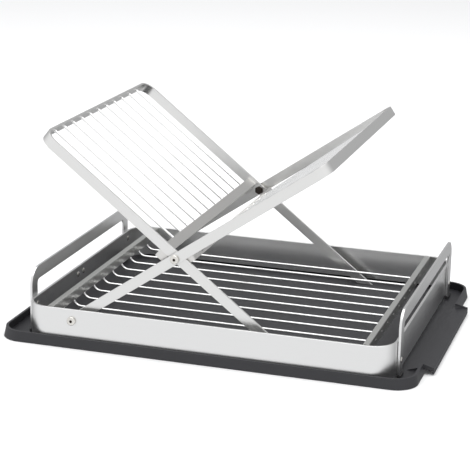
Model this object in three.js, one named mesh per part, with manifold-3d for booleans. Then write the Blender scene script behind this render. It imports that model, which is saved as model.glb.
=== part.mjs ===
// Countertop folding dish rack: a flat-bar ring with two crossed plate frames, standing in a drip tray.
// Millimetres, +Z up. X runs along the rack, Y across it, and the table top is Z = 0.
// Frame A leans to the left and frame B to the right. "Front" is the -Y side.
import * as THREE from "three";
import { mergeVertices } from "three/addons/utils/BufferGeometryUtils.js";
import Module from "manifold-3d";

// ---- Stock and clearances ----
const BAR_WIDTH = 12.3;
const BAR_THICKNESS = 3;
const WIRE_DIAMETER = 3;
const GAP = 0.3; // between pieces that touch
const SIDE_GAP = 4; // between the side bars of the two frames
const WALL_GAP = 6; // between frame B and the ring
const RUNNING_CLEARANCE = 0.05; // radial, pin in its hole
const FASTENER_CLEARANCE = 0.3; // radial, fixed rivet in its hole
const CUT_OVERLAP = 1; // how far a cutter runs past what it cuts
const ROUND_STEPS = 16; // sides of a round rod
const BEND_STEPS = 5; // steps round a wire's bend

// ---- Ring ----
const RING_LENGTH = 440;
const RING_DEPTH = 365;
const RING_HEIGHT = 39.5;
const RING_CORNER_RADIUS = 28;
const SEAM_Y = -16.5;
const SEAM_RIVET_PITCH = 17;
const RIVET_DROP_HIGH = 10; // rivet centre below the ring's top edge
const RIVET_DROP_LOW = 24;

// ---- Tray ----
const TRAY_HEIGHT = 12.1;
const TRAY_FLOOR = 2.3;
const TRAY_WALL = 3;
const TRAY_SIDE_GAP = 1; // between the ring and the rim at front and back
const TRAY_LEFT_REACH = 31; // rim beyond the ring's left end
const TRAY_RIGHT_REACH = 24;
const TRAY_FLARE = 2; // how far the wall leans in from bottom to rim
const TRAY_CORNER_RADIUS = 27;
const SPOUT_REACH = 13; // past the rim
const SPOUT_FRONT_Y = -128;
const SPOUT_BACK_Y = 98;
const SPOUT_RISE = 5.5; // underside above the table
const SPOUT_SHEET = 2;
const SPOUT_LIP_CLEARANCE = 1.2;
const SPOUT_RAMP = 16;
const RING_CLEARANCE = 3.7; // ring's lower edge above the tray floor

// ---- Handles and feet ----
const HANDLE_RISE = 33.7; // top of the handle above the ring
const HANDLE_WIDTH = 16;
const HANDLE_OVERHANG = 2.5; // how far a leg runs past the flat of the ring's end wall
const HANDLE_CORNER_RADIUS = 21;
const FOOT_HEIGHT = 3.5;
const FOOT_LENGTH = 18;
const FOOT_WIDTH = 4.6;

// ---- Ledges and the wire grid ----
const LEDGE_WIDTH = 7.4;
const LEDGE_HEIGHT = 12.3;
const LEDGE_WALL = 1;
const LEDGE_INSET = 25; // from the ring's inner end wall to the ledge
const GRID_WIRES = 10;
const GRID_SIDE_MARGIN = 28.3; // from frame B's side bar to the outermost wire
const GRID_DROP = 20.8; // wire centre below the ring's top edge
const GRID_BEND_RADIUS = 11;

// ---- Crossed frames ----
const FRAME_B_ANGLE = 34.8;
const FRAME_A_ANGLE = 37.9;
const FOOT_PIVOT_X = -159.8;
const FOOT_PIVOT_DROP = 13.9; // below the ring's top edge
const PIVOT_RADIUS = 149.8; // foot pivot to crossing pivot
const FRAME_B_REACH = 213; // crossing pivot to the top bar's outer face
const FRAME_A_REACH = 209;
const FRAME_CORNER_RADIUS = 18;
const ROD_COUNT = 11;
const ROD_SIDE_MARGIN = 31.5; // from frame A's side bar to the outermost rod
const ROD_B_DROP = 8; // rods of frame B below its plane at the crossbar
const CROSSBAR_START = 9; // crossbar A's near edge from the pivot, along the frame
const CROSSBAR_A_TAB = 17.5; // tab end below the frame's plane
const CROSSBAR_B_TOP = -4.3;
const CROSSBAR_B_WIDTH = 8.6;
const CROSSBAR_B_START = 13.5;
const TAB_THICKNESS = 2;
const TAB_BEND_RADIUS = 4;
const TAB_ROUND_RADIUS = 6;

// ---- Fasteners ----
const SCREW_RADIUS = 2.5;
const SCREW_HEAD_RADIUS = 5.3;
const SCREW_HEAD_HEIGHT = 2.6;
const NUT_RADIUS = 5;
const NUT_HEIGHT = 3.4;
const RIVET_RADIUS = 2;
const RIVET_HEAD_RADIUS = 3.6;
const RIVET_HEAD_HEIGHT = 1;
const SPACER_RADIUS = 5;

// ---- Derived positions ----
const RING_BOTTOM = TRAY_FLOOR + RING_CLEARANCE;
const RING_TOP = RING_BOTTOM + RING_HEIGHT;
const RING_INNER_X = RING_LENGTH / 2 - BAR_THICKNESS;
const RING_INNER_Y = RING_DEPTH / 2 - BAR_THICKNESS;
const HANDLE_SPAN = RING_DEPTH - 2 * (RING_CORNER_RADIUS - HANDLE_OVERHANG);
const TRAY_RIM_LEFT = -RING_LENGTH / 2 - TRAY_LEFT_REACH;
const TRAY_RIM_RIGHT = RING_LENGTH / 2 + TRAY_RIGHT_REACH;
const TRAY_RIM_Y = RING_DEPTH / 2 + TRAY_SIDE_GAP + TRAY_WALL;
const SPOUT_END = TRAY_RIM_RIGHT + SPOUT_REACH;
const FRAME_B_Y = RING_INNER_Y - WALL_GAP; // outer face of frame B's side bars
const FRAME_A_Y = FRAME_B_Y - BAR_THICKNESS - SIDE_GAP;
const GRID_PITCH = (2 * (FRAME_B_Y - BAR_THICKNESS - GRID_SIDE_MARGIN)) / (GRID_WIRES - 1);
const ROD_PITCH = (2 * (FRAME_A_Y - BAR_THICKNESS - ROD_SIDE_MARGIN)) / (ROD_COUNT - 1);
const TAB_Y = FRAME_A_Y - BAR_THICKNESS - GAP; // outer face of the crossbars' tabs
const FOOT_PIVOT_Z = RING_TOP - FOOT_PIVOT_DROP;
const ANGLE_A = THREE.MathUtils.degToRad(FRAME_A_ANGLE);
const ANGLE_B = THREE.MathUtils.degToRad(FRAME_B_ANGLE);
const PIVOT_X = FOOT_PIVOT_X + PIVOT_RADIUS * Math.cos(ANGLE_B);
const PIVOT_Z = FOOT_PIVOT_Z + PIVOT_RADIUS * Math.sin(ANGLE_B);
const FRAME_A_LEG_END = (PIVOT_Z - TRAY_FLOOR - GAP) / Math.sin(ANGLE_A);
const GRID_END_X = RING_INNER_X - LEDGE_INSET - LEDGE_WIDTH / 2 - GAP;
const CENTRE_X = (TRAY_RIM_LEFT - TRAY_FLARE + SPOUT_END) / 2; // middle of the whole part, put at X = 0

const STEEL = { color: 0xd2d2d0, roughness: 0.3, metalness: 0.9 };
const BRIGHT = { color: 0xe4e4e2, roughness: 0.2, metalness: 0.95 };
const PLASTIC = { color: 0x3c3c40, roughness: 0.55, metalness: 0 };
const RUBBER = { color: 0x1c1c1d, roughness: 0.85, metalness: 0 };

const wasm = await Module();
wasm.setup();
const part = new THREE.Group();
part.name = "dish_rack";

// Adds one named piece, moved so that the whole part is centred on X = 0.
function addPiece(name, geometry, finish) {
  const placed = geometry.clone().translate(-CENTRE_X, 0, 0);
  const mesh = new THREE.Mesh(placed, new THREE.MeshStandardMaterial(finish));
  mesh.name = name;
  part.add(mesh);
}

// ---- Joining and cutting ----
function toSolid(geometry) {
  const bare = geometry.index ? geometry.toNonIndexed() : geometry.clone();
  bare.deleteAttribute("normal");
  bare.deleteAttribute("uv");
  const merged = mergeVertices(bare, 1e-4);
  return new wasm.Manifold(
    new wasm.Mesh({
      numProp: 3,
      vertProperties: new Float32Array(merged.attributes.position.array),
      triVerts: new Uint32Array(merged.index.array),
    }),
  );
}

function toGeometry(solid) {
  const mesh = solid.getMesh();
  const geometry = new THREE.BufferGeometry();
  geometry.setAttribute("position", new THREE.BufferAttribute(new Float32Array(mesh.vertProperties), 3));
  geometry.setIndex(new THREE.BufferAttribute(new Uint32Array(mesh.triVerts), 1));
  const flat = geometry.toNonIndexed();
  flat.computeVertexNormals();
  return flat;
}

function join(...geometries) {
  return toGeometry(geometries.map(toSolid).reduce((sum, next) => sum.add(next)));
}

function cut(geometry, ...cutters) {
  return toGeometry(cutters.map(toSolid).reduce((rest, next) => rest.subtract(next), toSolid(geometry)));
}

// ---- Shapes ----
function roundedRectangle(halfX, halfY, radius) {
  const shape = new THREE.Shape();
  shape.absarc(halfX - radius, halfY - radius, radius, 0, Math.PI / 2);
  shape.absarc(radius - halfX, halfY - radius, radius, Math.PI / 2, Math.PI);
  shape.absarc(radius - halfX, radius - halfY, radius, Math.PI, 1.5 * Math.PI);
  shape.absarc(halfX - radius, radius - halfY, radius, 1.5 * Math.PI, 2 * Math.PI);
  shape.closePath();
  return shape;
}

function polygon(...corners) {
  return new THREE.Shape(corners.map(([x, y]) => new THREE.Vector2(x, y)));
}

// A strip bent into a U that opens towards -X: its outer face is at x = reach and y = +-halfWidth.
function bentStrip(start, reach, halfWidth, thickness, radius) {
  const inner = radius - thickness;
  const shape = new THREE.Shape();
  shape.moveTo(start, -halfWidth);
  shape.lineTo(reach - radius, -halfWidth);
  shape.absarc(reach - radius, radius - halfWidth, radius, -Math.PI / 2, 0, false);
  shape.absarc(reach - radius, halfWidth - radius, radius, 0, Math.PI / 2, false);
  shape.lineTo(start, halfWidth);
  shape.lineTo(start, halfWidth - thickness);
  shape.absarc(reach - radius, halfWidth - radius, inner, Math.PI / 2, 0, true);
  shape.absarc(reach - radius, radius - halfWidth, inner, 0, -Math.PI / 2, true);
  shape.lineTo(start, thickness - halfWidth);
  shape.closePath();
  return shape;
}

function extrude(shape, depth, steps = 8) {
  return new THREE.ExtrudeGeometry(shape, { depth, bevelEnabled: false, curveSegments: steps });
}

// A plate from a shape drawn in X and Z, its two faces at y = from and y = to.
function plateAcross(shape, from, to, steps) {
  return extrude(shape, to - from, steps).rotateX(Math.PI / 2).translate(0, to, 0);
}

// A bore's cutter, whose flats clear a round pin of that radius.
function boreAlongY(radius, from, to) {
  const corner = radius / Math.cos(Math.PI / ROUND_STEPS);
  return new THREE.CylinderGeometry(corner, corner, to - from, ROUND_STEPS).translate(0, (from + to) / 2, 0);
}

function rodBetween(start, end, radius) {
  const way = end.clone().sub(start);
  const turn = new THREE.Quaternion().setFromUnitVectors(new THREE.Vector3(0, 1, 0), way.clone().normalize());
  return new THREE.CylinderGeometry(radius, radius, way.length(), ROUND_STEPS)
    .applyQuaternion(turn)
    .translate((start.x + end.x) / 2, (start.y + end.y) / 2, (start.z + end.z) / 2);
}

// A headed pin along Y: its head outwards at y = outer, its clenched end or nut at y = inner (inner < outer).
function headedPin(radius, outer, headRadius, headHeight, inner, endRadius, endHeight) {
  const dome = (r, y, out) => [
    [r * 0.97, y + out * 0.45],
    [r * 0.75, y + out * 0.8],
    [r * 0.4, y + out],
  ];
  const profile = [
    [0, inner - endHeight],
    ...dome(endRadius, inner, -endHeight).reverse(),
    [endRadius, inner],
    [radius, inner],
    [radius, outer],
    [headRadius, outer],
    ...dome(headRadius, outer, headHeight),
    [0, outer + headHeight],
  ];
  return new THREE.LatheGeometry(
    profile.map(([x, y]) => new THREE.Vector2(x, y)),
    ROUND_STEPS,
  );
}

function spacer(from, to) {
  const bore = SCREW_RADIUS + FASTENER_CLEARANCE;
  const ring = new THREE.Shape().absarc(0, 0, SPACER_RADIUS, 0, 2 * Math.PI);
  ring.holes.push(new THREE.Path().absarc(0, 0, bore, 0, 2 * Math.PI));
  return plateAcross(ring, from, to);
}

// Puts a geometry drawn on the back side (+Y) onto the front side by a half turn about Z.
function toFront(geometry) {
  return geometry.clone().rotateZ(Math.PI);
}

// Tilts a geometry drawn flat (X along the frame, Z off its plane) and puts its origin at the pivot.
function placeOnFrame(geometry, frame) {
  geometry.rotateY(-frame.angle);
  if (frame.leansLeft) geometry.rotateZ(Math.PI);
  return geometry.translate(PIVOT_X, 0, PIVOT_Z);
}

const FRAME_A = { angle: ANGLE_A, leansLeft: true };
const FRAME_B = { angle: ANGLE_B, leansLeft: false };

// ---- Tray ----
// Leans the walls inwards with height, so that the rim is smaller than the base.
function leanIn(geometry) {
  const position = geometry.attributes.position;
  for (let i = 0; i < position.count; i++) {
    const shift = (TRAY_FLARE * position.getZ(i)) / TRAY_HEIGHT;
    position.setX(i, position.getX(i) - Math.sign(position.getX(i)) * shift);
    position.setY(i, position.getY(i) - Math.sign(position.getY(i)) * shift);
  }
  return geometry;
}

function trayBlock(inset, bottom, top) {
  const halfX = (TRAY_RIM_RIGHT - TRAY_RIM_LEFT) / 2 + TRAY_FLARE - inset;
  const halfY = TRAY_RIM_Y + TRAY_FLARE - inset;
  const block = extrude(roundedRectangle(halfX, halfY, TRAY_CORNER_RADIUS - inset), top - bottom);
  return leanIn(block.translate(0, 0, bottom)).translate((TRAY_RIM_RIGHT + TRAY_RIM_LEFT) / 2, 0, 0);
}

function makeTray() {
  const deck = SPOUT_RISE + SPOUT_SHEET;
  const wallInside = TRAY_RIM_RIGHT - TRAY_WALL;
  const lipInside = SPOUT_END - SPOUT_SHEET;
  const run = polygon(
    [wallInside - SPOUT_RAMP, TRAY_FLOOR / 2],
    [wallInside, TRAY_FLOOR / 2],
    [wallInside, SPOUT_RISE],
    [lipInside, SPOUT_RISE],
    [lipInside, SPOUT_LIP_CLEARANCE],
    [SPOUT_END, SPOUT_LIP_CLEARANCE],
    [SPOUT_END, deck],
    [wallInside, deck],
    [wallInside - SPOUT_RAMP, TRAY_FLOOR],
  );
  const cheek = polygon(
    [wallInside, SPOUT_RISE],
    [lipInside, SPOUT_RISE],
    [lipInside, SPOUT_LIP_CLEARANCE],
    [SPOUT_END, SPOUT_LIP_CLEARANCE],
    [SPOUT_END, deck + SPOUT_SHEET / 2],
    [TRAY_RIM_RIGHT, TRAY_HEIGHT],
    [wallInside, TRAY_HEIGHT],
  );
  const mouth = new THREE.BoxGeometry(
    TRAY_WALL + 2 * TRAY_FLARE,
    SPOUT_BACK_Y - SPOUT_FRONT_Y - 2 * SPOUT_SHEET,
    TRAY_HEIGHT,
  );
  mouth.translate(TRAY_RIM_RIGHT - TRAY_WALL / 2, (SPOUT_BACK_Y + SPOUT_FRONT_Y) / 2, deck + TRAY_HEIGHT / 2);
  const pan = cut(
    trayBlock(0, 0, TRAY_HEIGHT),
    trayBlock(TRAY_WALL, TRAY_FLOOR, TRAY_HEIGHT + CUT_OVERLAP),
    mouth,
  );
  return join(
    pan,
    plateAcross(run, SPOUT_FRONT_Y, SPOUT_BACK_Y),
    plateAcross(cheek, SPOUT_FRONT_Y, SPOUT_FRONT_Y + SPOUT_SHEET),
    plateAcross(cheek, SPOUT_BACK_Y - SPOUT_SHEET, SPOUT_BACK_Y),
  );
}

// ---- Ring, its rivets and its ledges ----
function boreAlongX(radius, x, y, z) {
  return boreAlongY(radius, -BAR_WIDTH, BAR_WIDTH)
    .rotateZ(Math.PI / 2)
    .translate(x, y, z);
}

const seamRivets = [-1, 1].map((side) => ({
  x: -RING_LENGTH / 2,
  y: SEAM_Y + (side * SEAM_RIVET_PITCH) / 2,
  z: RING_TOP - RIVET_DROP_HIGH,
}));
const handleRivets = [-1, 1].flatMap((end) =>
  [-1, 1].map((side) => ({
    end,
    side,
    x: (end * RING_LENGTH) / 2,
    y: (side * (HANDLE_SPAN - HANDLE_WIDTH)) / 2,
    z: RING_TOP - (end < 0 ? RIVET_DROP_HIGH : RIVET_DROP_LOW),
  })),
);

function makeRing() {
  const outline = roundedRectangle(RING_LENGTH / 2, RING_DEPTH / 2, RING_CORNER_RADIUS);
  outline.holes.push(roundedRectangle(RING_INNER_X, RING_INNER_Y, RING_CORNER_RADIUS - BAR_THICKNESS));
  const band = extrude(outline, RING_HEIGHT).translate(0, 0, RING_BOTTOM);
  const bores = [...seamRivets, ...handleRivets].map((spot) =>
    boreAlongX(RIVET_RADIUS + FASTENER_CLEARANCE, spot.x, spot.y, spot.z),
  );
  const footBore = boreAlongY(SCREW_RADIUS + FASTENER_CLEARANCE, -RING_DEPTH, RING_DEPTH);
  return cut(band, ...bores, footBore.translate(FOOT_PIVOT_X, 0, FOOT_PIVOT_Z));
}

// A rivet through the end wall, its head outside.
function wallRivet(spot, grip) {
  const pin = headedPin(
    RIVET_RADIUS,
    grip - BAR_THICKNESS + GAP,
    RIVET_HEAD_RADIUS,
    RIVET_HEAD_HEIGHT,
    -BAR_THICKNESS - GAP,
    RIVET_HEAD_RADIUS,
    RIVET_HEAD_HEIGHT,
  );
  return pin.rotateZ((-Math.sign(spot.x) * Math.PI) / 2).translate(spot.x, spot.y, spot.z);
}

function makeLedge(end) {
  const near = RING_INNER_X - LEDGE_INSET - LEDGE_WIDTH;
  const far = near + LEDGE_WIDTH;
  const bottom = RING_TOP - LEDGE_HEIGHT;
  const channel = polygon(
    [near, bottom],
    [near + LEDGE_WALL, bottom],
    [near + LEDGE_WALL, RING_TOP - LEDGE_WALL],
    [far - LEDGE_WALL, RING_TOP - LEDGE_WALL],
    [far - LEDGE_WALL, bottom],
    [far, bottom],
    [far, RING_TOP],
    [near, RING_TOP],
  );
  const cornerRadius = RING_CORNER_RADIUS - BAR_THICKNESS;
  const intoCorner = Math.max(0, far - (RING_INNER_X - cornerRadius));
  const sag = cornerRadius - Math.sqrt(cornerRadius ** 2 - intoCorner ** 2);
  const halfLength = RING_INNER_Y - sag - GAP;
  const ledge = plateAcross(channel, -halfLength, halfLength);
  return end < 0 ? ledge.rotateZ(Math.PI) : ledge;
}

// The line of a grid wire: across the rack, with both ends turned up into the ledges.
class GridWireLine extends THREE.Curve {
  constructor() {
    super();
    const low = RING_TOP - GRID_DROP;
    const tip = RING_TOP - LEDGE_WALL - WIRE_DIAMETER;
    const bend = GRID_BEND_RADIUS;
    this.stops = [{ at: new THREE.Vector3(-GRID_END_X, 0, tip), way: new THREE.Vector3(0, 0, -1) }];
    for (const side of [-1, 1]) {
      for (let i = 0; i <= BEND_STEPS; i++) {
        const turn = ((side < 0 ? i : BEND_STEPS - i) / BEND_STEPS) * (Math.PI / 2);
        const x = side * (GRID_END_X - bend + bend * Math.cos(turn));
        const z = low + bend - bend * Math.sin(turn);
        this.stops.push({
          at: new THREE.Vector3(x, 0, z),
          way: new THREE.Vector3(Math.sin(turn), 0, side * Math.cos(turn)),
        });
      }
    }
    this.stops.push({ at: new THREE.Vector3(GRID_END_X, 0, tip), way: new THREE.Vector3(0, 0, 1) });
  }

  stop(u) {
    return this.stops[Math.round(u * (this.stops.length - 1))];
  }

  getPointAt(u) {
    return this.stop(u).at.clone();
  }

  getTangentAt(u) {
    return this.stop(u).way.clone();
  }
}

function makeGridWire() {
  const line = new GridWireLine();
  const round = new THREE.Shape().absarc(0, 0, WIRE_DIAMETER / 2, 0, 2 * Math.PI);
  return new THREE.ExtrudeGeometry(round, {
    steps: line.stops.length - 1,
    extrudePath: line,
    curveSegments: BEND_STEPS + 1,
  });
}

// ---- Handles and rubber feet ----
function makeHandle(end) {
  const legBottom = TRAY_FLOOR + FOOT_HEIGHT + 2 * GAP;
  const top = RING_TOP + HANDLE_RISE;
  const shape = bentStrip(legBottom, top, HANDLE_SPAN / 2, HANDLE_WIDTH, HANDLE_CORNER_RADIUS);
  const blank = extrude(shape, BAR_THICKNESS).rotateY(-Math.PI / 2);
  const x = RING_LENGTH / 2 + GAP + BAR_THICKNESS;
  const bores = handleRivets
    .filter((spot) => spot.end === end)
    .map((spot) => boreAlongX(RIVET_RADIUS + FASTENER_CLEARANCE, x, end * spot.y, spot.z));
  const handle = cut(blank.translate(x, 0, 0), ...bores);
  return end < 0 ? handle.rotateZ(Math.PI) : handle;
}

function makeFoot() {
  const block = extrude(roundedRectangle(FOOT_WIDTH / 2, FOOT_LENGTH / 2, FOOT_WIDTH / 3), FOOT_HEIGHT, 3);
  return block.translate(0, 0, TRAY_FLOOR + GAP);
}

// ---- Crossed frames ----
// A side bar's outline in the frame's plane: it ends level with the floor, or round its foot pivot.
function sideBarShape(frame, end) {
  const half = BAR_WIDTH / 2;
  if (frame.leansLeft) {
    const slope = half / Math.tan(frame.angle);
    return polygon([end, -half], [end, half], [-FRAME_A_LEG_END - slope, half], [-FRAME_A_LEG_END + slope, -half]);
  }
  const shape = new THREE.Shape();
  shape.moveTo(end, half);
  shape.lineTo(-PIVOT_RADIUS, half);
  shape.absarc(-PIVOT_RADIUS, 0, half, Math.PI / 2, 1.5 * Math.PI, false);
  shape.lineTo(end, -half);
  shape.closePath();
  return shape;
}

function makeFrame(frame, reach, outerY) {
  const start = reach / 2;
  const outline = bentStrip(start, reach, outerY, BAR_THICKNESS, FRAME_CORNER_RADIUS);
  const top = extrude(outline, BAR_WIDTH).translate(0, 0, -BAR_WIDTH / 2);
  const bar = sideBarShape(frame, start + CUT_OVERLAP);
  const pivotBore = boreAlongY(SCREW_RADIUS + RUNNING_CLEARANCE, -RING_DEPTH, RING_DEPTH);
  const bent = join(
    top,
    plateAcross(bar, outerY - BAR_THICKNESS, outerY),
    plateAcross(bar, -outerY, BAR_THICKNESS - outerY),
  );
  const bores = frame.leansLeft ? [pivotBore] : [pivotBore, pivotBore.clone().translate(-PIVOT_RADIUS, 0, 0)];
  return placeOnFrame(cut(bent, ...bores), frame);
}

// Crossbar A is a strip in its frame's plane with both ends folded down beside the side bars.
function makeCrossbarA() {
  const shape = bentStrip(-CROSSBAR_A_TAB, BAR_THICKNESS / 2, TAB_Y, TAB_THICKNESS, TAB_BEND_RADIUS);
  return placeOnFrame(
    extrude(shape, BAR_WIDTH, 4)
      .rotateY(-Math.PI / 2)
      .translate(CROSSBAR_START + BAR_WIDTH, 0, 0),
    FRAME_A,
  );
}

// Crossbar B stands square to its frame, below the plane, and its tabs reach back to the pivot.
function makeCrossbarB() {
  const web = bentStrip(0, CROSSBAR_B_START + BAR_THICKNESS, TAB_Y, TAB_THICKNESS, TAB_BEND_RADIUS);
  const strip = extrude(web, CROSSBAR_B_WIDTH, 4).translate(0, 0, CROSSBAR_B_TOP - CROSSBAR_B_WIDTH);
  const tab = new THREE.Shape();
  tab.absarc(0, 0, TAB_ROUND_RADIUS, Math.PI / 2, 1.4 * Math.PI, false);
  tab.lineTo(TAB_ROUND_RADIUS, CROSSBAR_B_TOP - CROSSBAR_B_WIDTH);
  tab.lineTo(CROSSBAR_B_START - TAB_BEND_RADIUS / 2, CROSSBAR_B_TOP - CROSSBAR_B_WIDTH);
  tab.lineTo(CROSSBAR_B_START - TAB_BEND_RADIUS / 2, CROSSBAR_B_TOP);
  tab.closePath();
  const back = plateAcross(tab, TAB_Y - TAB_THICKNESS, TAB_Y);
  const front = plateAcross(tab, -TAB_Y, TAB_THICKNESS - TAB_Y);
  const trim = new THREE.BoxGeometry(RING_LENGTH, RING_DEPTH, RING_DEPTH).translate(-RING_LENGTH / 2, 0, 0);
  const bore = boreAlongY(SCREW_RADIUS + RUNNING_CLEARANCE, -RING_DEPTH, RING_DEPTH);
  return placeOnFrame(cut(join(cut(strip, trim), back, front), bore), FRAME_B);
}

function makeRod(frame, y, from, to, drop) {
  const start = new THREE.Vector3(from, y, -drop);
  return placeOnFrame(rodBetween(start, new THREE.Vector3(to, y, 0), WIRE_DIAMETER / 2), frame);
}

// ---- Assembly ----
const endNames = [
  [-1, "left"],
  [1, "right"],
];
const sideNames = [
  [-1, "front"],
  [1, "back"],
];
const twoDigits = (number) => String(number).padStart(2, "0");
const fromMiddle = (index, count, pitch) => (index - (count - 1) / 2) * pitch;

addPiece("tray", makeTray(), PLASTIC);
addPiece("ring", makeRing(), STEEL);
seamRivets.forEach((spot, i) => addPiece(`seam_rivet_${sideNames[i][1]}`, wallRivet(spot, BAR_THICKNESS), STEEL));

for (const [end, endName] of endNames) {
  addPiece(`ledge_${endName}`, makeLedge(end), STEEL);
  addPiece(`handle_${endName}`, makeHandle(end), BRIGHT);
}

for (const spot of handleRivets) {
  const label = `${spot.end < 0 ? "left" : "right"}_${spot.side < 0 ? "front" : "back"}`;
  addPiece(`handle_rivet_${label}`, wallRivet(spot, 2 * BAR_THICKNESS + GAP), STEEL);
  const footX = spot.x + spot.end * (GAP + FOOT_WIDTH / 2);
  addPiece(`rubber_foot_${label}`, makeFoot().translate(footX, spot.y, 0), RUBBER);
}

for (let i = 0; i < GRID_WIRES; i++) {
  const wire = makeGridWire().translate(0, fromMiddle(i, GRID_WIRES, GRID_PITCH), 0);
  addPiece(`grid_wire_${twoDigits(i + 1)}`, wire, BRIGHT);
}

addPiece("frame_a", makeFrame(FRAME_A, FRAME_A_REACH, FRAME_A_Y), STEEL);
addPiece("frame_b", makeFrame(FRAME_B, FRAME_B_REACH, FRAME_B_Y), STEEL);
addPiece("crossbar_a", makeCrossbarA(), STEEL);
addPiece("crossbar_b", makeCrossbarB(), STEEL);

for (let i = 0; i < ROD_COUNT; i++) {
  const y = fromMiddle(i, ROD_COUNT, ROD_PITCH);
  const fromA = CROSSBAR_START + BAR_WIDTH + GAP;
  const fromB = CROSSBAR_B_START + BAR_THICKNESS + GAP;
  const rodA = makeRod(FRAME_A, y, fromA, FRAME_A_REACH - BAR_THICKNESS - GAP, 0);
  const rodB = makeRod(FRAME_B, y, fromB, FRAME_B_REACH - BAR_THICKNESS - GAP, ROD_B_DROP);
  addPiece(`rod_a_${twoDigits(i + 1)}`, rodA, BRIGHT);
  addPiece(`rod_b_${twoDigits(i + 1)}`, rodB, BRIGHT);
}

const pivotScrew = headedPin(
  SCREW_RADIUS,
  FRAME_B_Y + GAP,
  SCREW_HEAD_RADIUS,
  SCREW_HEAD_HEIGHT,
  TAB_Y - TAB_THICKNESS - GAP,
  NUT_RADIUS,
  NUT_HEIGHT,
);
const footScrew = headedPin(
  SCREW_RADIUS,
  RING_DEPTH / 2 + GAP,
  SCREW_HEAD_RADIUS,
  SCREW_HEAD_HEIGHT,
  FRAME_B_Y - BAR_THICKNESS - GAP,
  RIVET_HEAD_RADIUS + GAP,
  RIVET_HEAD_HEIGHT,
);
const pivotSpacer = spacer(FRAME_A_Y + GAP, FRAME_B_Y - BAR_THICKNESS - GAP);
const footSpacer = spacer(FRAME_B_Y + GAP, RING_INNER_Y - GAP);

for (const [side, sideName] of sideNames) {
  const facing = (geometry) => (side < 0 ? toFront(geometry) : geometry.clone());
  addPiece(`pivot_screw_${sideName}`, facing(pivotScrew).translate(PIVOT_X, 0, PIVOT_Z), STEEL);
  addPiece(`pivot_spacer_${sideName}`, facing(pivotSpacer).translate(PIVOT_X, 0, PIVOT_Z), STEEL);
  addPiece(`foot_screw_${sideName}`, facing(footScrew).translate(FOOT_PIVOT_X, 0, FOOT_PIVOT_Z), STEEL);
  addPiece(`foot_spacer_${sideName}`, facing(footSpacer).translate(FOOT_PIVOT_X, 0, FOOT_PIVOT_Z), STEEL);
}

export default part;
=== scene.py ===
"""Looks of a countertop folding dish rack: steel ring, crossed frames, wire grid and drip tray.

Sizes are in millimetres in the part's own frame (X along the rack, Y across it, Z up from the
table), and become metres when a piece leaves its Stock.
"""
import logging
import math
from dataclasses import dataclass, field
from enum import Enum
from typing import Any, Iterable, Mapping, Sequence

import bmesh
import bpy
from bmesh.types import BMEdge, BMVert
from mathutils import Matrix, Vector


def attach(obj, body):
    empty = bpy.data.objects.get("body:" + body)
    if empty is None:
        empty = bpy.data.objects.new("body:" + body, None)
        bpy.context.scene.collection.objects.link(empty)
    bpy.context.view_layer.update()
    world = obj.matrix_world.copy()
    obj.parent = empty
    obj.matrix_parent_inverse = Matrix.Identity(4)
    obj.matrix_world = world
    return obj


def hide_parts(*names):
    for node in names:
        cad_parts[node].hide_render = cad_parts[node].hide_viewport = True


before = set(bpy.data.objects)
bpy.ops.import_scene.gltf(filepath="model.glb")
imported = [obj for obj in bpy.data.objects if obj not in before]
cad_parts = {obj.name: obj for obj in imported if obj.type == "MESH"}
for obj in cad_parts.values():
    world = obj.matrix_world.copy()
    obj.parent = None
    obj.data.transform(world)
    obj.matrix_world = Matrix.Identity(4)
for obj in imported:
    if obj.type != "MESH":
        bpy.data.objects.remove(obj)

LOG = logging.getLogger("dish_rack")
METRES = 0.001
QUARTER = math.pi / 2
LEAN_A, LEAN_B = math.radians(37.9), math.radians(34.8)  # the frames, from level
CENTRE_X = -2.0  # middle of the ring along the rack
CROSSING = (-38.79, 117.09)  # (X, Z) of the pivot where the frames cross
GAP = 0.3  # between pieces that touch
TOUCH = 0.1  # points nearer than this count as level
ROUND_SIDES = 16  # sides of a round rod
SHARP_ANGLE = math.radians(38)  # edges sharper than this stay sharp
EVEN = (1.0, 1.0, 1.0)  # no stretch along any axis
ENDS = ((-1, "left"), (1, "right"))
SIDES = ((-1, "front"), (1, "back"))


class Body(Enum):
    """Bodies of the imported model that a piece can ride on."""

    TRAY = "tray"
    RACK = "rack"
    FRAME_A = "frame_a"
    FRAME_B = "frame_b"


class Brushing(Enum):
    """Direction the polishing lines of a sheet run in, as the share of detail along X, Y and Z."""

    LENGTHWISE = (1.0, 60.0, 60.0)
    CROSSWISE = (60.0, 1.0, 60.0)
    LEVEL = (1.0, 1.0, 60.0)


# ---- Shader graphs ----


class Signal:
    """A shader socket that takes part in ordinary arithmetic."""

    def __init__(self, graph: "Graph", socket: bpy.types.NodeSocket) -> None:
        """Keeps the socket and the graph that it is in.

        Args:
            graph: Graph that owns the socket.
            socket: Output socket of one of its nodes.
        """
        self.graph = graph
        self.socket = socket

    def __add__(self, other: "Signal | float") -> "Signal":
        """Sum."""
        return self.graph.maths("ADD", self, other)

    def __mul__(self, other: "Signal | float") -> "Signal":
        """Product."""
        return self.graph.maths("MULTIPLY", self, other)

    __radd__ = __add__
    __rmul__ = __mul__


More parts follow.
